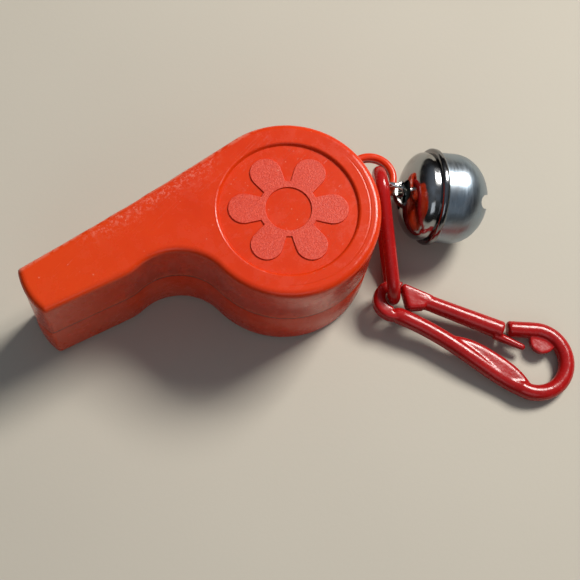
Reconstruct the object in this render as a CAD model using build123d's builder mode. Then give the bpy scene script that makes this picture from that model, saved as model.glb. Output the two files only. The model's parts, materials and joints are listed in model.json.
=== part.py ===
"""Plastic pea whistle on a snap clip, with a jingle bell on its loop.

The whistle lies flat on its rear face.  The origin is where the chamber's axis meets the
rest surface, +X runs from the mouth to the lanyard loop, +Y is the straight windway side
and +Z is up.  All sizes are in millimetres and all angles in degrees.
"""

import os
from math import asin, atan2, cos, degrees, radians, sin, sqrt

from build123d import *

# ---- whistle ---------------------------------------------------------------------------
chamber_radius = 10.75
whistle_thickness = 16.0
side_wall = 1.3
face_wall = 1.5
rim_rounding = 0.8
mouth_x = -30.75                 # furthest point of the rounded mouth end
mouth_low_y = 0.86               # near corner of the mouth
mouth_high_y = 6.9               # far corner of the mouth
mouth_corner_rounding = 0.5
mouth_near_back = 0.9            # how far each corner of the mouth stands back from mouth_x
mouth_far_back = 0.35
mouth_furthest_y = 4.6
grip_swell = 0.64                # how far the near edge swells before the throat
swell_length = 4.0
throat_radius = 6.5              # concave blend from the mouthpiece to the chamber
windway_slope_angle = 98.9       # where the straight side leaves the chamber's circle

windway_height = 1.8
mouth_cut_past = 1.0             # how far the windway's cut runs past the mouth
window_start_x = -9.4
window_end_x = -5.6
window_lip_back = 0.6            # the window's far edge leans out to a sharp lip
window_cut_above = 2.0           # how far the window's cut runs past the outside
pocket_wall = 1.2                # round the empty space beside the windway
pocket_start = 2.2               # from the mouth
pocket_throat_run = 2.5
pocket_throat_drop = 0.6
pocket_end_x, pocket_end_y = -11.6, 4.2

recess_radius = 8.2
recess_depth = 0.4
recess_lip_rounding = 0.3
recess_taper = 30.0
petal_count = 6
petal_height = 0.16
petal_rounding = 0.07
petal_tip_radius = 6.95
petal_lobe_radius = 1.85
petal_root_radius = 1.3
petal_first_angle = -26.5
flower_ring_radius = 3.45
flower_eye_radius = 2.65

pea_radius = 3.75
pea_orbit_radius = 5.0
pea_angle = 205.0
loose_gap = 0.05

# ---- lanyard loop ----------------------------------------------------------------------
loop_x, loop_y = 12.79, 1.77
loop_outer_radius = 3.28
loop_hole_radius = 2.37
loop_height = 1.5
loop_rounding = 0.4

# ---- jump ring -------------------------------------------------------------------------
wire_radius = 0.325
ring_radius = 1.52               # centreline
ring_direction = -38.0           # heading of the ring's plane, from the loop to the bell
ring_height = 7.75
ring_slit = 3.0                  # angle left open between the wire's butted ends

# ---- bell ------------------------------------------------------------------------------
bell_centre = Vector(18.82, -2.98, 6.15)    # middle of the flange
bell_heading = -25.8
bell_dip = 12.06                             # how far the base end points down
bell_flange_radius = 6.03
bell_flange_height = 0.9
bell_cup_radius = 5.6
bell_cup_straight = 2.8
bell_cup_length = 7.3
bell_crown_radius = 5.45
bell_crown_height = 3.6
bell_crown_shoulder = 1.1
bell_sheet = 0.35
bell_rim_radius = 5.68
bell_rim_half_height = 0.15      # half of the cup's turned-out rim, held in the flange
bell_flange_rounding = 0.35
bell_slot_width = 1.7
bell_slot_half_length = 4.9
bell_slot_turn = 25.0            # about the bell's axis, away from upright
crown_hole_height = 4.7
crown_hole_width = 2.6
crown_hole_rounding = 0.9
crown_hole_depth = 2.0
strap_width = 0.9
strap_rise = 1.0
strap_foot_out = 0.35            # where the strap meets the crown, past the hole's side
strap_foot_drop = 0.12
bell_ball_radius = 2.0
bell_ball_along = 1.5            # from the flange towards the base

# ---- link ------------------------------------------------------------------------------
link_rod_radius = 0.8
link_bend_radius = 2.65          # centreline of each end bend
link_hole_x, link_hole_y = 14.0, 1.95      # the end bend where it stands in the loop
link_top_height = 7.78           # centre of the upper end bend
link_lean = 6.0                  # its upper side leans towards the chamber
link_low_height = 3.46           # centre of the lower end bend, which touches the ground

# ---- clip ------------------------------------------------------------------------------
eye_x, eye_y, eye_height = 9.35, -11.93, 2.9  # the link's lower bend inside the clip's eye
clip_heading = -48.6
ground_gap = 0.01
eye_outer_radius = 2.55
eye_hole_radius = 1.2
eye_hole_offset = 0.35
eye_thickness = 1.8
eye_rounding = 0.45
bar_radius = 1.02
bar_points = [(1.3, -1.5), (5.0, -1.68), (11.4, -2.85)]      # centreline up to the round end
bar_start_slope, bar_end_slope = -2.0, -9.5
web_points = [(8.2, -2.05), (11.9, -1.55), (14.3, -1.9), (16.8, -2.55), (19.3, -4.05)]
web_radius = 0.72                # the web inside the bar has a round free edge
round_end_x, round_end_y = 19.1, -0.2
round_end_radius = 3.97
hook_angle = 200.0               # heading of the hook's straight tip
hook_length = 3.45
hook_tip_rounding = 0.35
tooth_radius = 1.6
tooth_x, tooth_y = 19.1, 2.55
tooth_thickness = 0.8

gate_pivot_x, gate_pivot_y = 0.75, 2.05
gate_knuckle_radius = 0.45
gate_gap = 0.05
gate_start_radius, gate_end_radius = 0.97, 1.18
gate_start_x, gate_start_y = 2.6, 1.5
gate_end_x, gate_end_y = 14.05, 1.85
gate_root_thickness = 1.9
gate_root_points = [(0.42, 1.8), (2.0, -0.5), (3.9, 0.45), (4.4, 2.47)]
gate_root_corner = 0.7
gate_root_rounding = 0.4
tongue_root_x, tongue_root_y = 13.2, 1.0
tongue_tip_x, tongue_tip_y = 16.95, 0.88
tongue_root_radius, tongue_tip_radius = 0.6, 0.42

# ---- worked-out places -----------------------------------------------------------------
mid_height = whistle_thickness / 2
cavity_radius = chamber_radius - side_wall
cavity_half = mid_height - face_wall
petal_top_height = whistle_thickness - recess_depth + petal_height
same_place = 0.01                # two heights or radii this close are the same


def heading_vector(angle):
    """Level unit vector at an angle from +X towards +Y."""
    return Vector(cos(radians(angle)), sin(radians(angle)), 0)


def plane_along(origin, x_direction, y_direction):
    """Plane with its local x and y along the two given directions."""
    return Plane(origin=origin, x_dir=x_direction, z_dir=x_direction.cross(y_direction))


def save(builder, name):
    """Label one finished piece and write its STEP file."""
    builder.part.label = name
    export_step(builder.part, f"parts/{name}.step")


os.makedirs("parts", exist_ok=True)

up = Vector(0, 0, 1)
slope = windway_slope_angle - 90
tangent_x = chamber_radius * cos(radians(windway_slope_angle))
tangent_y = chamber_radius * sin(radians(windway_slope_angle))
throat_low_y = mouth_low_y + grip_swell
throat_centre_y = throat_low_y - throat_radius
throat_centre_x = -sqrt((chamber_radius + throat_radius) ** 2 - throat_centre_y ** 2)
throat_touch = Vector(throat_centre_x, throat_centre_y) * (chamber_radius
                                                           / (chamber_radius + throat_radius))
throat_turn = atan2(throat_touch.Y - throat_centre_y, throat_touch.X - throat_centre_x)
throat_middle = Vector(throat_centre_x + throat_radius * cos((throat_turn + radians(90)) / 2),
                       throat_centre_y + throat_radius * sin((throat_turn + radians(90)) / 2))
swell_start_x = throat_centre_x - swell_length

# ---- whistle outline and cavity, as flat sketches ---------------------------------------
with BuildSketch() as outline:
    with BuildLine():
        Line((mouth_x + mouth_near_back, mouth_low_y), (swell_start_x, mouth_low_y))
        rise = TangentArc((swell_start_x, mouth_low_y),
                          (swell_start_x + swell_length / 2, mouth_low_y + grip_swell / 2),
                          tangent=(1, 0))
        TangentArc(rise @ 1, (throat_centre_x, throat_low_y), tangent=rise % 1)
        ThreePointArc((throat_centre_x, throat_low_y), throat_middle, throat_touch)
        ThreePointArc(throat_touch, (chamber_radius, 0), (tangent_x, tangent_y))
        side = TangentArc((tangent_x, tangent_y), (mouth_x + mouth_far_back, mouth_high_y),
                          tangent=(-cos(radians(slope)), -sin(radians(slope))))
        ThreePointArc(side @ 1, (mouth_x, mouth_furthest_y),
                      (mouth_x + mouth_near_back, mouth_low_y))
    make_face()
    mouth_corners = outline.vertices().sort_by(Axis.X)[0:2]
    fillet(mouth_corners, radius=mouth_corner_rounding)

floor_inset = side_wall + windway_height
pocket_inset = floor_inset + pocket_wall


def below_side(at, inset):
    """Point a given depth inside the straight side, at a fraction along it."""
    point = side @ at
    along = side % at
    return Vector(point.X - along.Y * inset, point.Y + along.X * inset)


half_way = 0.5                   # fractions along the straight side, from the chamber
at_mouth = 1.0
past_mouth = Vector(-mouth_cut_past, 0)
window_fraction = (tangent_x - window_start_x) / (tangent_x - (mouth_x + mouth_far_back))
with BuildSketch() as cavity:
    Circle(cavity_radius)
    with BuildLine():
        Polyline(below_side(at_mouth, side_wall) + past_mouth,
                 below_side(half_way, side_wall),
                 below_side(window_fraction, side_wall),
                 below_side(window_fraction, -window_cut_above),
                 (window_end_x, chamber_radius + window_cut_above),
                 (window_end_x - window_lip_back, tangent_y - floor_inset),
                 below_side(window_fraction, floor_inset),
                 below_side(half_way, floor_inset),
                 below_side(at_mouth, floor_inset) + past_mouth,
                 close=True)
    make_face()

with BuildSketch() as pocket:
    with BuildLine():
        Polyline((mouth_x + pocket_start, mouth_low_y + pocket_wall),
                 (throat_centre_x, mouth_low_y + pocket_wall),
                 (throat_centre_x + pocket_throat_run,
                  mouth_low_y + pocket_wall - pocket_throat_drop),
                 (pocket_end_x, pocket_end_y),
                 (pocket_end_x, below_side(window_fraction, pocket_inset).Y),
                 (mouth_x + pocket_start, below_side(at_mouth, pocket_inset).Y),
                 close=True)
    make_face()

with BuildSketch() as flower:
    Circle(flower_ring_radius)
    with PolarLocations(0, petal_count, start_angle=petal_first_angle):
        with BuildSketch(mode=Mode.PRIVATE) as petal:
            with Locations((petal_tip_radius - petal_lobe_radius, 0)):
                Circle(petal_lobe_radius)
            with Locations((flower_eye_radius, 0)):
                Circle(petal_root_radius)
            make_hull()
        add(petal.sketch)
    Circle(flower_eye_radius, mode=Mode.SUBTRACT)

# ---- whistle shells ---------------------------------------------------------------------
# The two shells are the same moulding, mirrored on the seam plane.
loop_centre = Vector(loop_x, loop_y, mid_height)
with BuildPart() as front_shell:
    with BuildSketch(Plane.XY.offset(mid_height)):
        add(outline.sketch)
    extrude(amount=mid_height)
    fillet(front_shell.faces().sort_by(Axis.Z)[-1].outer_wire().edges(), radius=rim_rounding)
    with BuildSketch(plane_along(loop_centre, Vector(1, 0, 0), up)):
        with BuildLine():
            Polyline((loop_hole_radius, 0), (loop_outer_radius, 0),
                     (loop_outer_radius, loop_height / 2), (loop_hole_radius, loop_height / 2),
                     close=True)
        section = make_face()
        fillet(section.vertices().group_by(Axis.Y)[-1], radius=loop_rounding)
    revolve(axis=Axis(loop_centre, up))
    with BuildSketch(Plane.XY.offset(mid_height)):
        add(cavity.sketch)
        add(pocket.sketch)
    extrude(amount=cavity_half, mode=Mode.SUBTRACT)
    with BuildSketch(Plane.XY.offset(whistle_thickness)):
        Circle(recess_radius)
    extrude(amount=-recess_depth, mode=Mode.SUBTRACT, taper=recess_taper)
    with BuildSketch(Plane.XY.offset(whistle_thickness - recess_depth)):
        add(flower.sketch)
    extrude(amount=petal_height)
    lip = front_shell.edges().filter_by(
        lambda edge: edge.geom_type == GeomType.CIRCLE
        and abs(edge.radius - recess_radius) < same_place
        and abs(edge.center().Z - whistle_thickness) < same_place)
    fillet(lip, radius=recess_lip_rounding)
    petal_top = front_shell.faces().filter_by(
        lambda face: abs(face.center().Z - petal_top_height) < same_place)
    fillet(petal_top.edges(), radius=petal_rounding)
save(front_shell, "front_shell")

with BuildPart() as rear_shell:
    mirror(front_shell.part, about=Plane.XY.offset(mid_height))
save(rear_shell, "rear_shell")

# ---- whistle pea ------------------------------------------------------------------------
with BuildPart() as pea:
    with Locations(heading_vector(pea_angle) * pea_orbit_radius
                   + up * (face_wall + pea_radius + loose_gap)):
        Sphere(pea_radius)
save(pea, "pea")

# ---- bell -------------------------------------------------------------------------------
bell_axis = heading_vector(bell_heading) * cos(radians(bell_dip)) - up * sin(radians(bell_dip))
bell_side = up.cross(bell_axis).normalized()          # level, across the bell
bell_rise = bell_axis.cross(bell_side).normalized()   # upright, across the bell
bell_section = plane_along(bell_centre, bell_rise, bell_axis)
bell_spin = Axis(bell_centre, bell_axis)
half_flange = bell_flange_height / 2
crown_apex = bell_centre - bell_axis * bell_crown_height
strap_reach = crown_hole_width / 2 + strap_foot_out

with BuildPart() as bell_crown:
    with BuildSketch(bell_section):
        with BuildLine():
            Polyline((0, -bell_crown_height), (0, -bell_crown_height + bell_sheet))
            EllipticalCenterArc((0, -bell_crown_shoulder),
                                bell_crown_radius - bell_sheet,
                                bell_crown_height - bell_crown_shoulder - bell_sheet,
                                start_angle=270, arc_size=90)
            Polyline((bell_crown_radius - bell_sheet, -bell_crown_shoulder),
                     (bell_crown_radius - bell_sheet, -bell_rim_half_height),
                     (bell_rim_radius, -bell_rim_half_height), (bell_rim_radius, bell_rim_half_height),
                     (bell_cup_radius, bell_rim_half_height), (bell_cup_radius, half_flange),
                     (bell_flange_radius, half_flange), (bell_flange_radius, -half_flange),
                     (bell_crown_radius, -half_flange),
                     (bell_crown_radius, -bell_crown_shoulder))
            EllipticalCenterArc((0, -bell_crown_shoulder), bell_crown_radius,
                                bell_crown_height - bell_crown_shoulder,
                                start_angle=270, arc_size=90)
        make_face()
    revolve(axis=bell_spin)
    flange_edges = bell_crown.edges().filter_by(GeomType.CIRCLE).sort_by(SortBy.RADIUS)[-2:]
    fillet(flange_edges, radius=bell_flange_rounding)
    with BuildSketch(plane_along(crown_apex + bell_axis, bell_rise, bell_side)):
        RectangleRounded(crown_hole_height, crown_hole_width, crown_hole_rounding)
    extrude(amount=crown_hole_depth, both=True, mode=Mode.SUBTRACT)
    with BuildSketch(plane_along(crown_apex, bell_side, bell_axis)):
        with BuildLine():
            bow = ThreePointArc((-strap_reach, strap_foot_drop), (0, -strap_rise),
                                (strap_reach, strap_foot_drop))
            bow_inner = ThreePointArc((-strap_reach, strap_foot_drop + bell_sheet),
                                      (0, -strap_rise + bell_sheet),
                                      (strap_reach, strap_foot_drop + bell_sheet))
            Line(bow @ 0, bow_inner @ 0)
            Line(bow @ 1, bow_inner @ 1)
        make_face()
    extrude(amount=strap_width / 2, both=True)
save(bell_crown, "bell_crown")

with BuildPart() as bell_base:
    with BuildSketch(bell_section):
        with BuildLine():
            Polyline((bell_cup_radius, bell_cup_straight), (bell_cup_radius, bell_rim_half_height),
                     (bell_rim_radius, bell_rim_half_height), (bell_rim_radius, -bell_rim_half_height),
                     (bell_cup_radius - bell_sheet, -bell_rim_half_height),
                     (bell_cup_radius - bell_sheet, bell_cup_straight))
            EllipticalCenterArc((0, bell_cup_straight), bell_cup_radius - bell_sheet,
                                bell_cup_length - bell_cup_straight - bell_sheet,
                                start_angle=0, arc_size=90)
            Line((0, bell_cup_length - bell_sheet), (0, bell_cup_length))
            EllipticalCenterArc((0, bell_cup_straight), bell_cup_radius,
                                bell_cup_length - bell_cup_straight,
                                start_angle=0, arc_size=90)
        make_face()
    revolve(axis=bell_spin)
    slot_run = bell_rise * cos(radians(bell_slot_turn)) - bell_side * sin(radians(bell_slot_turn))
    slot_plane = Plane(origin=bell_centre + bell_axis * bell_cup_straight,
                       x_dir=slot_run, z_dir=bell_axis)
    with BuildSketch(slot_plane):
        SlotOverall(2 * bell_slot_half_length, bell_slot_width)
    extrude(amount=bell_cup_length, mode=Mode.SUBTRACT)
save(bell_base, "bell_base")

with BuildPart() as bell_ball:
    with Locations(bell_centre + bell_axis * bell_ball_along
                   - bell_rise * (bell_cup_radius - bell_sheet - bell_ball_radius - loose_gap)):
        Sphere(bell_ball_radius)
save(bell_ball, "bell_ball")

# ---- jump ring --------------------------------------------------------------------------
# The wire stands upright, over and under the loop's rim, and passes below the bell's strap.
ring_heading = heading_vector(ring_direction)
ring_reach = sqrt(ring_radius ** 2 - (ring_height - crown_apex.Z) ** 2)
ring_centre = Vector(crown_apex.X, crown_apex.Y, ring_height) - ring_heading * ring_reach
ring_normal = ring_heading.cross(up)
with BuildPart() as jump_ring:
    with BuildSketch(plane_along(ring_centre, up, ring_normal)):
        with Locations((-ring_radius, 0)):
            Circle(wire_radius)
    revolve(axis=Axis(ring_centre, ring_normal), revolution_arc=360 - ring_slit)
save(jump_ring, "jump_ring")

# ---- link -------------------------------------------------------------------------------
link_hole = Vector(link_hole_x, link_hole_y, link_top_height)
clip_hole = Vector(eye_x, eye_y, eye_height)
level_run = Vector(eye_x - link_hole_x, eye_y - link_hole_y, 0).normalized()
link_top = link_hole + level_run * link_bend_radius
link_low = (Vector(eye_x, eye_y, link_low_height)
            - level_run * sqrt(link_bend_radius ** 2 - (link_low_height - eye_height) ** 2))
link_run = (link_low - link_top).normalized()
level_normal = link_run.cross(up).normalized()
link_rise = (level_normal.cross(link_run) * cos(radians(link_lean))
             + level_normal * sin(radians(link_lean)))
with BuildPart() as chain_link:
    for bend_centre, away in ((link_top, link_run), (link_low, link_run * -1)):
        for edge_side in (link_rise, link_rise * -1):
            with BuildSketch(Plane(origin=bend_centre + edge_side * link_bend_radius,
                                   z_dir=away)):
                Circle(link_rod_radius)
            extrude(amount=(link_low - link_top).length / 2)
        with BuildSketch(Plane(origin=bend_centre + link_rise * link_bend_radius, z_dir=away)):
            Circle(link_rod_radius)
        revolve(axis=Axis(bend_centre, away.cross(link_rise)), revolution_arc=180)
save(chain_link, "chain_link")

# ---- clip -------------------------------------------------------------------------------
clip_dip = degrees(asin((eye_height - bar_radius - ground_gap)
                        / (round_end_x + round_end_radius)))
clip_level = heading_vector(clip_heading)
clip_run = clip_level * cos(radians(clip_dip)) - up * sin(radians(clip_dip))
clip_left = up.cross(clip_level)
clip_plane = plane_along(clip_hole - clip_left * eye_hole_offset, clip_run, clip_left)


def on_clip(x, y):
    """Point of the clip's own flat frame in the whistle's frame."""
    return clip_plane.from_local_coords(Vector(x, y, 0))


def clip_direction(angle):
    """Unit vector in the clip's flat frame."""
    return on_clip(cos(radians(angle)), sin(radians(angle))) - on_clip(0, 0)


round_start = (round_end_x + round_end_radius * cos(radians(bar_end_slope - 90)),
               round_end_y + round_end_radius * sin(radians(bar_end_slope - 90)))
hook_start = (round_end_x + round_end_radius * cos(radians(hook_angle - 90)),
              round_end_y + round_end_radius * sin(radians(hook_angle - 90)))
hook_end = (hook_start[0] + hook_length * cos(radians(hook_angle)),
            hook_start[1] + hook_length * sin(radians(hook_angle)))

with BuildPart() as clip_body:
    with BuildSketch(clip_plane.offset(-eye_thickness / 2)):
        Circle(eye_outer_radius)
        with Locations((0, eye_hole_offset)):
            Circle(eye_hole_radius, mode=Mode.SUBTRACT)
        with Locations((gate_pivot_x - gate_knuckle_radius, bar_points[0][1])):
            Rectangle(2 * eye_outer_radius, 2 * eye_outer_radius, align=(Align.MIN, Align.MIN),
                      mode=Mode.SUBTRACT)
    extrude(amount=eye_thickness)
    fillet(clip_body.edges().filter_by(GeomType.CIRCLE), radius=eye_rounding)
    with BuildSketch(clip_plane.offset(-eye_thickness)):
        with Locations((gate_pivot_x, gate_pivot_y)):
            Circle(gate_knuckle_radius + gate_gap)
    extrude(amount=2 * eye_thickness, mode=Mode.SUBTRACT)
    with BuildLine(clip_plane) as bar_path:
        Spline(*bar_points, round_start,
               tangents=[(cos(radians(bar_start_slope)), sin(radians(bar_start_slope))),
                         (cos(radians(bar_end_slope)), sin(radians(bar_end_slope)))])
        CenterArc((round_end_x, round_end_y), round_end_radius, bar_end_slope - 90,
                  hook_angle - bar_end_slope)
        Line(hook_start, hook_end)
    with BuildSketch(Plane(origin=on_clip(*bar_points[0]), z_dir=clip_direction(bar_start_slope))):
        Circle(bar_radius)
    sweep(path=bar_path.wires()[0])
    hook_tip = clip_body.faces().filter_by(GeomType.PLANE).sort_by_distance(on_clip(*hook_end))[0]
    fillet(hook_tip.edges(), radius=hook_tip_rounding)
    with Locations(on_clip(*bar_points[0])):
        Sphere(bar_radius)
    with BuildLine(clip_plane) as web_path:
        web_edge = Spline(*web_points)
    with BuildSketch(Plane(origin=on_clip(*web_points[0]), z_dir=web_edge % 0)):
        Circle(web_radius)
    sweep(path=web_path.wires()[0])
    with BuildSketch(clip_plane.offset(-web_radius)):
        with BuildLine():
            Spline(*web_points)
            Polyline(web_points[-1], round_start, bar_points[-1], web_points[0])
        make_face()
    extrude(amount=2 * web_radius)
    with BuildSketch(clip_plane.offset(-tooth_thickness / 2)):
        with Locations((tooth_x, tooth_y)):
            Circle(tooth_radius)
    extrude(amount=tooth_thickness)
save(clip_body, "clip_body")

with BuildPart() as clip_gate:
    with BuildSketch(clip_plane.offset(-gate_root_thickness / 2)):
        with Locations((gate_pivot_x, gate_pivot_y)):
            Circle(gate_knuckle_radius)
        with BuildLine():
            Polyline((gate_pivot_x, gate_pivot_y + gate_knuckle_radius), *gate_root_points,
                     close=True)
        root = make_face()
        fillet(root.vertices().sort_by(Axis.Y)[0], radius=gate_root_corner)
    extrude(amount=gate_root_thickness)
    fillet(clip_gate.edges().filter_by(clip_plane), radius=gate_root_rounding)
    gate_start = on_clip(gate_start_x, gate_start_y)
    gate_end = on_clip(gate_end_x, gate_end_y)
    with BuildSketch(Plane(origin=gate_start, z_dir=gate_end - gate_start)):
        Circle(gate_start_radius)
    with BuildSketch(Plane(origin=gate_end, z_dir=gate_end - gate_start)):
        Circle(gate_end_radius)
    loft()
    arm_tip = clip_gate.faces().filter_by(GeomType.PLANE).sort_by_distance(gate_end)[0]
    fillet(arm_tip.edges(), radius=hook_tip_rounding)
    with Locations(gate_start):
        Sphere(gate_start_radius)
    tongue_root = on_clip(tongue_root_x, tongue_root_y)
    tongue_tip = on_clip(tongue_tip_x, tongue_tip_y)
    with BuildSketch(Plane(origin=tongue_root, z_dir=tongue_tip - tongue_root)):
        Circle(tongue_root_radius)
    with BuildSketch(Plane(origin=tongue_tip, z_dir=tongue_tip - tongue_root)):
        Circle(tongue_tip_radius)
    loft()
    with Locations(tongue_tip):
        Sphere(tongue_tip_radius)
save(clip_gate, "clip_gate")
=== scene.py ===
"""Looks for the pea whistle with its jingle bell and snap clip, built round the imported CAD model.

The frame is the CAD model's own: the chamber's axis stands on the origin, +X runs to the
lanyard loop and +Z is up.  Objects are in metres.  Materials work in millimetres, because
their patterns are the size of grain, scratches and specks.
"""

import json
from math import cos, radians, sin

import bpy
from mathutils import Matrix, Vector


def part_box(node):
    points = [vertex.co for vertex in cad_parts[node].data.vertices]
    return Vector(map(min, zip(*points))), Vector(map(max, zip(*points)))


MM = 0.001

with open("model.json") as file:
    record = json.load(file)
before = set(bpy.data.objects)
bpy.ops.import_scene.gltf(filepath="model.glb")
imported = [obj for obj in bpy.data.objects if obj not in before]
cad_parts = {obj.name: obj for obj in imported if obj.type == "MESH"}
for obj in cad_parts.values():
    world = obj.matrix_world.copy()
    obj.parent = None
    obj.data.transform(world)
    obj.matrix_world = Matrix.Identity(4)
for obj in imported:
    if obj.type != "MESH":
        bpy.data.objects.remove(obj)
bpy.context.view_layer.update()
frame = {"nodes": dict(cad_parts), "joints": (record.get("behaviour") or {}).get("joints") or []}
nodes = frame["nodes"]
joints = {joint["name"]: joint for joint in frame["joints"]}

# ---- places on the whistle's shells, in millimetres ------------------------------------
# A pair says where a mask is still 0 and where it has grown to 1.
FACE_DEPTH = (0.06, 0.01)                # below the level of the flat faces
PETAL_DEPTH = (0.29, 0.25)
RIM_DEPTH = (0.75, 0.35)
WALL_DEPTH = (0.3, 1.5)
FLOWER_RADIUS = (7.6, 7.3)               # from the chamber's axis
SEAM_DISTANCE = (0.17, 0.08)             # from the seam, up or down
BEAD_HEIGHT = 0.34                       # of the bead's middle, above the seam
BEAD_DISTANCE = (0.22, 0.08)             # from the bead's middle
SIDE_SLOPE, SIDE_OFFSET = 0.129, 10.8    # the straight side is at y = slope * x + offset
SCUFF_DISTANCE = (3.4, 0.4)              # from the straight side
SCUFF_NEAR_X = (-3.0, -7.0)              # at the chamber's end of the scuffs
SCUFF_FAR_X = (-25.0, -19.0)             # at their mouth end
RUB_AND_HIGHLIGHT_DISTANCE = (0.8, 0.3)                # from the straight side
MOUTH_X = (-6.0, -28.0)                  # the colour warms from the chamber to the mouth
TURNED_RADIUS = 9.46                     # of a fine turned line on the rim
TURNED_DISTANCE = (0.12, 0.02)           # from that line
TURNED_SIDE = (0.6, -0.8, 0.0)           # the line fades in towards this side
TURNED_REACH = (2.0, 7.0)
SCRATCH_DIRECTION = Vector((0.93, 0.36, 0.0))

# ---- places on the bell's crown, along its axis from the middle of the flange ----------
# where painted shade darkens the flange, and where grime with painted shade darkens the strap
FLANGE_SHADE = (-0.95, -0.45)
STRAP_GRIME_AND_SHADE = (-3.3, -3.75)

# ---- mesh work -------------------------------------------------------------------------
SAME_PLACE = 0.001 * MM
EDGE_WIDTH = 0.12 * MM
EDGE_SEGMENTS = 2
SHARP_ANGLE = 50                         # degrees; sharper edges are eased
SOFTEN_GRID = 0.09 * MM
SOFTEN_FACTOR = 0.5
SOFTEN_PASSES = 14

# ---- stage, in metres and degrees ------------------------------------------------------
FLOOR_HALF_WIDTH = 1.5
CAMERA_AZIMUTH = -128.096                # from +X
CAMERA_ELEVATION = 70.42
CAMERA_ROLL = -10.966
CAMERA_TARGET = Vector((-1.002, -4.399, 0.0)) * MM
CAMERA_DISTANCE = 151.0 * MM
CAMERA_LENS = 74.69


# ---- node helpers ----------------------------------------------------------------------
class Look:
    """A material and the few kinds of node that the materials here are made from."""

    def __init__(self, name):
        self.material = bpy.data.materials.new(name)
        self.material.use_nodes = True
        self.tree = self.material.node_tree
        self.surface = self.tree.nodes["Principled BSDF"]
        coordinates = self.add("ShaderNodeTexCoord")
        self.place = self.vector("SCALE", coordinates.outputs["Object"], scale=1 / MM)
        split = self.add("ShaderNodeSeparateXYZ")
        self.join(self.place, split.inputs[0])
        self.x, self.y, self.z = split.outputs

    def add(self, kind):
        return self.tree.nodes.new(kind)

    def join(self, given, socket):
        """Feeds a socket from an output, or sets it to a number or colour."""
        if isinstance(given, bpy.types.NodeSocket):
            self.tree.links.new(given, socket)
        else:
            socket.default_value = given

    def set(self, **values):
        """Sets or feeds the surface's own sockets; base_color is its Base Color."""
        for name, value in values.items():
            label = name.replace("_", " ").title().replace("Ior", "IOR")
            self.join(value, self.surface.inputs[label])

    def math(self, operation, *values):
        made = self.add("ShaderNodeMath")
        made.operation = operation
        for value, socket in zip(values, made.inputs):
            self.join(value, socket)
        return made.outputs[0]

    def vector(self, operation, *values, scale=None):
        made = self.add("ShaderNodeVectorMath")
        made.operation = operation
        for value, socket in zip(values, made.inputs):
            self.join(value, socket)
        if scale is not None:
            self.join(scale, made.inputs["Scale"])
        return made.outputs["Value" if operation in ("DOT_PRODUCT", "LENGTH") else "Vector"]

    def product(self, first, *others):
        """All the values multiplied together."""
        made = first
        for other in others:
            made = self.math("MULTIPLY", made, other)
        return made

    def more(self, base, mask, amount):
        """The base value, with amount added where mask is 1."""
        return self.math("MULTIPLY_ADD", mask, amount, base)

    def distance(self, value, centre):
        """How far value is from centre, on either side."""
        return self.math("ABSOLUTE", self.math("SUBTRACT", value, centre))

    def noise(self, size, detail=3.0, rough=0.5, place=None):
        """Cloudy variation from 0 to 1, its lumps about size millimetres across."""
        made = self.add("ShaderNodeTexNoise")
        self.join(self.place if place is None else place, made.inputs["Vector"])
        self.join(1 / size, made.inputs["Scale"])
        self.join(detail, made.inputs["Detail"])
        self.join(rough, made.inputs["Roughness"])
        return made.outputs["Fac"]

    def cells(self, size):
        """Distance from the nearest of scattered points that stand about size apart."""
        made = self.add("ShaderNodeTexVoronoi")
        self.join(self.place, made.inputs["Vector"])
        self.join(1 / size, made.inputs["Scale"])
        return made.outputs["Distance"]

    def spread(self, value, low, high, new_low=0.0, new_high=1.0):
        """Eases value from new_low at low to new_high at high."""
        made = self.add("ShaderNodeMapRange")
        made.interpolation_type = "SMOOTHSTEP"
        for given, socket in zip((value, low, high, new_low, new_high), made.inputs):
            self.join(given, socket)
        return made.outputs["Result"]

    def mix(self, share, first, second):
        """A colour between first and second."""
        made = self.add("ShaderNodeMix")
        made.data_type = "RGBA"
        self.join(share, made.inputs["Factor"])
        self.join(first, made.inputs["A"])
        self.join(second, made.inputs["B"])
        return made.outputs["Result"]

    def tint(self, body, mask, strength, other):
        """The body colour, turned towards the other by strength where mask is 1."""
        return self.mix(self.math("MULTIPLY", mask, strength), body, other)

    def bump(self, height, depth, below=None):
        """Raises the surface by depth millimetres where height is 1."""
        made = self.add("ShaderNodeBump")
        self.join(1.0, made.inputs["Strength"])
        self.join(depth * MM, made.inputs["Distance"])
        self.join(height, made.inputs["Height"])
        if below is not None:
            self.join(below, made.inputs["Normal"])
        return made.outputs["Normal"]

    def stretched(self, axis, across, along):
        """The place squeezed so that a pattern of size 1 is across by along, long over axis."""
        part = self.vector("DOT_PRODUCT", self.place, axis)
        run = self.vector("SCALE", axis, scale=part)
        rest = self.vector("SUBTRACT", self.place, run)
        rest = self.vector("SCALE", rest, scale=1 / across)
        run = self.vector("SCALE", run, scale=1 / along)
        return self.vector("ADD", rest, run)


def colour(red, green, blue):
    return (red, green, blue, 1.0)


# ---- material of the whistle's shells --------------------------------------------------
def petal_mask(look, below_face, radius):
    """1 on the raised petals, inside the round recess."""
    return look.product(
        look.spread(below_face, *PETAL_DEPTH),
        look.spread(radius, *FLOWER_RADIUS),
    )


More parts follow.
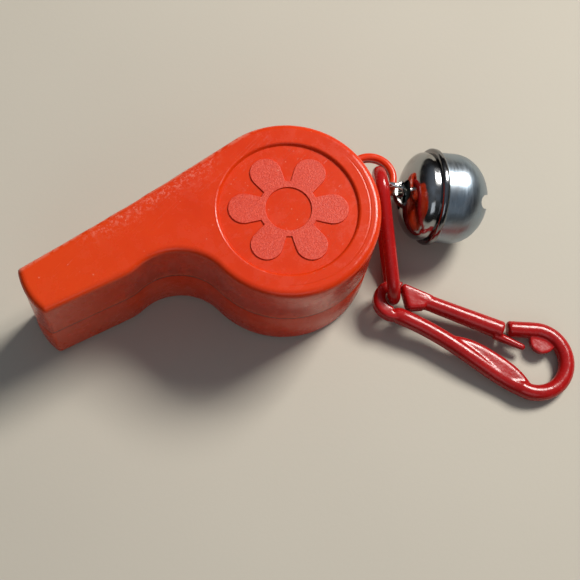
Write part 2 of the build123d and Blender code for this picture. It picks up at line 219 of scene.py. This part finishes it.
def wear_and_edge_highlight_masks(look, below_face, on_face):
    """Scuffs on the faces beside the straight side, and pale rubbing along the rim there, which is
    also a painted edge highlight.
    """
    side = look.math("MULTIPLY_ADD", look.x, SIDE_SLOPE, SIDE_OFFSET)
    from_side = look.math("SUBTRACT", side, look.y)
    scuffed = look.product(
        look.spread(from_side, *SCUFF_DISTANCE),
        on_face,
        look.spread(look.x, *SCUFF_NEAR_X),
        look.spread(look.x, *SCUFF_FAR_X),
        look.spread(look.noise(0.55, 5.0, 0.8), 0.50, 0.62),
    )
    # pale rubbing on the far rim, partly real wear and partly a painted edge highlight
    rubbed_and_edge_highlight = look.product(
        look.spread(from_side, *RUB_AND_HIGHLIGHT_DISTANCE),
        look.spread(below_face, *RIM_DEPTH),
        look.spread(look.noise(0.8), 0.38, 0.55),
    )
    return scuffed, rubbed_and_edge_highlight


def turned_mask(look, radius, on_face):
    """A fine turned line on the rim, on the side towards the link."""
    reach = look.vector("DOT_PRODUCT", look.place, TURNED_SIDE)
    return look.product(
        look.spread(look.distance(radius, TURNED_RADIUS), *TURNED_DISTANCE),
        on_face,
        look.spread(reach, *TURNED_REACH),
    )


def shell_plastic():
    """Orange-red moulded plastic, handled and scuffed, with frosted petals."""
    low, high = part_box("front_shell")
    seam_height = low.z / MM
    half_height = high.z / MM - seam_height
    look = Look("shell_orange")
    radius = look.vector("LENGTH", look.vector("MULTIPLY", look.place, (1.0, 1.0, 0.0)))
    from_seam = look.distance(look.z, seam_height)
    below_face = look.math("SUBTRACT", half_height, from_seam)
    on_face = look.spread(below_face, *FACE_DEPTH)
    on_petal = petal_mask(look, below_face, radius)
    scuffed, rubbed_and_edge_highlight = wear_and_edge_highlight_masks(look, below_face, on_face)
    turned = turned_mask(look, radius, on_face)

    cloud = look.noise(7.0, 5.0, 0.65)
    body = look.mix(cloud, colour(0.56, 0.026, 0.003), colour(0.74, 0.048, 0.005))
    body = look.tint(body, look.spread(look.x, *MOUTH_X), 0.5, colour(0.70, 0.062, 0.004))

    # frosted petals: a pale sparkling grain
    grain = look.noise(0.16, 2.0, 0.8)
    sparkle = look.spread(grain, 0.35, 0.7)
    frost = look.mix(sparkle, colour(0.54, 0.026, 0.006), colour(0.75, 0.078, 0.034))
    body = look.tint(body, on_petal, 0.8, frost)

    # the welded seam: a dark crack under a thin pale bead
    seam = look.spread(from_seam, *SEAM_DISTANCE)
    bead = look.spread(look.distance(look.z, seam_height + BEAD_HEIGHT), *BEAD_DISTANCE)
    body = look.tint(body, seam, 0.75, colour(0.16, 0.006, 0.002))
    body = look.tint(body, bead, 0.5, colour(0.88, 0.22, 0.12))

    # wear, a painted edge highlight on the rim, bloom on the walls, and pale specks
    body = look.tint(body, scuffed, 0.55, colour(0.78, 0.20, 0.12))
    # pale rubbing on the far rim: wear, and a painted edge highlight
    body = look.tint(body, rubbed_and_edge_highlight, 0.45, colour(0.85, 0.30, 0.20))
    bloom = look.spread(look.noise(6.0, 5.0, 0.6), 0.45, 0.75)
    bloom = look.product(bloom, look.spread(below_face, *WALL_DEPTH))
    body = look.tint(body, bloom, 0.16, colour(0.75, 0.30, 0.22))
    patches = look.spread(look.noise(3.2, 3.0, 0.6), 0.50, 0.66)
    specks = look.product(look.spread(look.cells(0.8), 0.13, 0.06), patches)
    body = look.tint(body, specks, 0.5, colour(0.88, 0.40, 0.28))

    scratch_place = look.stretched(SCRATCH_DIRECTION, 0.07, 6.0)
    scratches = look.spread(look.noise(1.0, 2.0, place=scratch_place), 0.64, 0.72)
    scratches = look.product(scratches, look.spread(look.noise(5.0), 0.42, 0.58))
    grease = look.spread(look.noise(2.1, 5.0, 0.65), 0.42, 0.66)
    roughness = look.more(0.22, grease, 0.10)
    roughness = look.more(roughness, on_petal, 0.14)
    roughness = look.more(roughness, scuffed, 0.15)
    roughness = look.more(roughness, scratches, 0.12)

    skin = look.bump(look.noise(0.45, 3.0, 0.65), 0.010)
    skin = look.bump(look.product(grain, on_petal), 0.045, skin)
    skin = look.bump(scratches, -0.008, skin)
    skin = look.bump(scuffed, 0.012, skin)
    skin = look.bump(turned, -0.025, skin)
    skin = look.bump(bead, 0.05, skin)
    skin = look.bump(seam, -0.08, skin)
    look.set(base_color=body, roughness=roughness, normal=skin, specular_ior_level=0.32)
    look.set(subsurface_weight=0.1, subsurface_radius=(1.0, 0.2, 0.08), subsurface_scale=0.5 * MM)
    return look.material


# ---- other materials -------------------------------------------------------------------
def clip_plastic():
    """Crimson plastic of the clip, its gate and its link: glossy, with an orange-peel skin."""
    look = Look("clip_red")
    cloud = look.noise(3.0, 4.0, 0.65)
    body = look.mix(cloud, colour(0.28, 0.004, 0.004), colour(0.44, 0.010, 0.009))
    specks = look.product(look.spread(look.cells(0.6), 0.10, 0.05), look.spread(cloud, 0.48, 0.6))
    body = look.tint(body, specks, 0.45, colour(0.80, 0.30, 0.27))
    wear = look.spread(look.noise(1.0, 4.0, 0.7), 0.46, 0.66)
    roughness = look.more(0.20, wear, 0.12)
    skin = look.bump(look.noise(0.30, 3.0, 0.65), 0.014)
    skin = look.bump(look.noise(1.5, 2.0), 0.02, skin)
    look.set(base_color=body, roughness=roughness, normal=skin, specular_ior_level=0.38)
    look.set(subsurface_weight=0.1, subsurface_radius=(1.0, 0.1, 0.08), subsurface_scale=0.6 * MM)
    return look.material


def plated_crown(axis, centre):
    """Bright plating of the bell's crown, smudged, with painted shade round its flange and grime
    with painted shade round its strap.
    """
    look = Look("bell_crown_steel")
    along = look.vector("DOT_PRODUCT", look.vector("SUBTRACT", look.place, centre), axis)
    tarnish = look.spread(look.noise(2.4, 5.0, 0.65), 0.45, 0.75)
    body = look.mix(tarnish, colour(0.38, 0.39, 0.40), colour(0.22, 0.20, 0.18))
    flange_shade = look.spread(along, *FLANGE_SHADE)
    strap_grime_and_shade = look.spread(along, *STRAP_GRIME_AND_SHADE)
    # painted shade on the rolled flange; grime with painted shade round the strap
    body = look.tint(body, flange_shade, 0.65, colour(0.13, 0.13, 0.14))
    body = look.tint(body, strap_grime_and_shade, 0.7, colour(0.12, 0.11, 0.10))
    smudge = look.noise(1.3, 4.0, 0.6)
    roughness = look.spread(smudge, 0.3, 0.8, 0.07, 0.22)
    roughness = look.more(roughness, strap_grime_and_shade, 0.15)
    rub = look.noise(1.0, 2.0, place=look.stretched(axis, 0.9, 0.05))
    skin = look.bump(rub, 0.0015)
    skin = look.bump(look.noise(1.8, 2.0), 0.02, skin)
    look.set(base_color=body, roughness=roughness, normal=skin, metallic=1.0)
    return look.material


def satin_base(axis):
    """Satin blue-grey steel of the bell's cup, brushed round its axis."""
    look = Look("bell_base_steel")
    brushed = look.noise(1.0, 3.0, 0.6, look.stretched(axis, 1.6, 0.06))
    stain = look.spread(look.noise(2.6, 4.0, 0.6), 0.4, 0.7)
    body = look.mix(brushed, colour(0.22, 0.28, 0.33), colour(0.37, 0.44, 0.51))
    body = look.tint(body, stain, 0.35, colour(0.30, 0.27, 0.25))
    roughness = look.spread(brushed, 0.25, 0.75, 0.26, 0.46)
    skin = look.bump(brushed, 0.006)
    skin = look.bump(look.noise(0.4, 3.0, 0.6), 0.004, skin)
    look.set(base_color=body, roughness=roughness, normal=skin, metallic=1.0, anisotropic=0.3)
    return look.material


def bright_wire():
    """Bright wire of the jump ring, finely marked and a little grimy."""
    look = Look("wire_steel")
    grime = look.spread(look.noise(0.7, 4.0, 0.6), 0.5, 0.75)
    body = look.mix(grime, colour(0.75, 0.74, 0.72), colour(0.42, 0.36, 0.31))
    roughness = look.more(0.12, grime, 0.18)
    skin = look.bump(look.noise(0.12, 3.0, 0.6), 0.004)
    look.set(base_color=body, roughness=roughness, normal=skin, metallic=1.0)
    return look.material


def cork():
    """Pressed cork of the whistle's pea: pale granules in darker gaps."""
    look = Look("pea_cork")
    granule = look.cells(0.8)
    shade = look.noise(1.4, 3.0, 0.6)
    body = look.mix(shade, colour(0.36, 0.20, 0.09), colour(0.58, 0.38, 0.19))
    body = look.mix(look.spread(granule, 0.45, 0.75), body, colour(0.14, 0.07, 0.03))
    roughness = look.more(0.7, shade, 0.2)
    skin = look.bump(granule, -0.12)
    skin = look.bump(look.noise(0.2, 4.0, 0.7), 0.05, skin)
    look.set(base_color=body, roughness=roughness, normal=skin)
    return look.material


def tumbled_steel():
    """Dull steel of the bell's loose ball, pitted from tumbling."""
    look = Look("ball_steel")
    pits = look.spread(look.cells(0.35), 0.35, 0.1)
    shade = look.noise(0.9, 3.0, 0.6)
    body = look.mix(shade, colour(0.34, 0.33, 0.32), colour(0.58, 0.57, 0.55))
    body = look.tint(body, pits, 0.5, colour(0.16, 0.14, 0.12))
    roughness = look.more(0.25, shade, 0.2)
    skin = look.bump(pits, -0.02)
    look.set(base_color=body, roughness=roughness, normal=skin, metallic=1.0)
    return look.material


bell_axis = Vector(joints["ball_roll"]["axis"])
bell_centre = Vector(joints["ball_roll"]["pos_m"]) / MM
shell = shell_plastic()
red = clip_plastic()
finishes = {
    "front_shell": shell,
    "rear_shell": shell,
    "pea": cork(),
    "jump_ring": bright_wire(),
    "bell_crown": plated_crown(bell_axis, bell_centre),
    "bell_base": satin_base(bell_axis),
    "bell_ball": tumbled_steel(),
    "chain_link": red,
    "clip_body": red,
    "clip_gate": red,
}
for name, finish in finishes.items():
    nodes[name].material_slots[0].material = finish


# ---- mesh work on the CAD pieces, all of it in modifiers -------------------------------
def close_mesh(name):
    """Joins points that stand on the same place, which also drops faces of no size."""
    weld = nodes[name].modifiers.new("weld", "WELD")
    weld.merge_threshold = SAME_PLACE


def ease_edges(name):
    """Rounds the sharp edges of a shell, which leaves a fine groove along its seam."""
    close_mesh(name)
    bevel = nodes[name].modifiers.new("bevel", "BEVEL")
    bevel.width = EDGE_WIDTH
    bevel.segments = EDGE_SEGMENTS
    bevel.limit_method = "ANGLE"
    bevel.angle_limit = radians(SHARP_ANGLE)
    bevel.harden_normals = True


def soften(name):
    """Blends a moulded piece's joins into each other, as its one-piece moulding does."""
    remesh = nodes[name].modifiers.new("remesh", "REMESH")
    remesh.mode = "VOXEL"
    remesh.voxel_size = SOFTEN_GRID
    remesh.use_smooth_shade = True
    smooth = nodes[name].modifiers.new("smooth", "SMOOTH")
    smooth.factor = SOFTEN_FACTOR
    smooth.iterations = SOFTEN_PASSES


for name in ("front_shell", "rear_shell"):
    ease_edges(name)
for name in ("clip_body", "clip_gate"):
    soften(name)
for name in ("pea", "bell_ball"):
    close_mesh(name)


# ---- floor, light and camera -----------------------------------------------------------
def floor_paper():
    """Matt pale card under the object."""
    look = Look("floor_card")
    body = look.mix(look.noise(60.0), colour(0.47, 0.43, 0.36), colour(0.53, 0.49, 0.41))
    skin = look.bump(look.noise(0.6, 3.0, 0.6), 0.01)
    look.set(base_color=body, roughness=0.8, normal=skin)
    return look.material


def make_floor(half_width):
    corners = [(-1, -1), (1, -1), (1, 1), (-1, 1)]
    points = [(x * half_width, y * half_width, 0.0) for x, y in corners]
    mesh = bpy.data.meshes.new("floor")
    mesh.from_pydata(points, [], [(0, 1, 2, 3)])
    mesh.materials.append(floor_paper())
    made = bpy.data.objects.new("floor", mesh)
    bpy.context.scene.collection.objects.link(made)


def direction(azimuth, elevation):
    """Unit vector to a place seen at that azimuth from +X and that height, in degrees."""
    level = cos(radians(elevation))
    return Vector((
        level * cos(radians(azimuth)),
        level * sin(radians(azimuth)),
        sin(radians(elevation)),
    ))


def add_light(name, azimuth, elevation, distance, width, height, power, tint):
    """A soft rectangular light that faces the origin."""
    data = bpy.data.lights.new(name, "AREA")
    data.shape = "RECTANGLE"
    data.size = width
    data.size_y = height
    data.energy = power
    data.color = tint
    made = bpy.data.objects.new(name, data)
    towards = direction(azimuth, elevation)
    made.location = towards * distance
    made.rotation_euler = towards.to_track_quat("Z", "Y").to_euler()
    bpy.context.scene.collection.objects.link(made)


def make_world():
    """A dim room that brightens and cools overhead."""
    world = bpy.data.worlds.new("studio")
    world.use_nodes = True
    tree = world.node_tree
    coordinates = tree.nodes.new("ShaderNodeTexCoord")
    split = tree.nodes.new("ShaderNodeSeparateXYZ")
    height = tree.nodes.new("ShaderNodeValToRGB")
    background = tree.nodes["Background"]
    tree.links.new(coordinates.outputs["Generated"], split.inputs[0])
    tree.links.new(split.outputs["Z"], height.inputs["Fac"])
    tree.links.new(height.outputs["Color"], background.inputs["Color"])
    level, overhead = height.color_ramp.elements
    level.position = 0.0
    level.color = colour(0.06, 0.05, 0.045)
    overhead.position = 1.0
    overhead.color = colour(0.75, 0.85, 1.0)
    between = height.color_ramp.elements.new(0.4)
    between.color = colour(0.12, 0.125, 0.135)
    background.inputs["Strength"].default_value = 0.30
    bpy.context.scene.world = world


def make_camera():
    """Looks down on the object from the near side of the mouthpiece, rolled a little."""
    back = direction(CAMERA_AZIMUTH, CAMERA_ELEVATION)
    right = (-back).cross(Vector((0, 0, 1))).normalized()
    down = (-back).cross(right)
    roll = radians(CAMERA_ROLL)
    across = cos(roll) * right + sin(roll) * down
    below = cos(roll) * down - sin(roll) * right
    data = bpy.data.cameras.new("camera")
    data.lens = CAMERA_LENS
    data.sensor_width = 36.0
    data.clip_start = 0.01
    data.clip_end = 10.0
    made = bpy.data.objects.new("camera", data)
    turned = Matrix((across, -below, back)).transposed().to_4x4()
    made.matrix_world = Matrix.Translation(CAMERA_TARGET + back * CAMERA_DISTANCE) @ turned
    bpy.context.scene.collection.objects.link(made)
    bpy.context.scene.camera = made


make_floor(FLOOR_HALF_WIDTH)
make_world()
add_light(
    "key", azimuth=15.0, elevation=48.0, distance=0.50,
    width=0.16, height=0.16, power=3.2, tint=(1.0, 0.97, 0.92),
)
add_light(
    "fill", azimuth=-110.0, elevation=40.0, distance=0.60,
    width=0.40, height=0.30, power=0.35, tint=(0.90, 0.95, 1.0),
)
make_camera()
bpy.context.scene.view_settings.view_transform = "Standard"
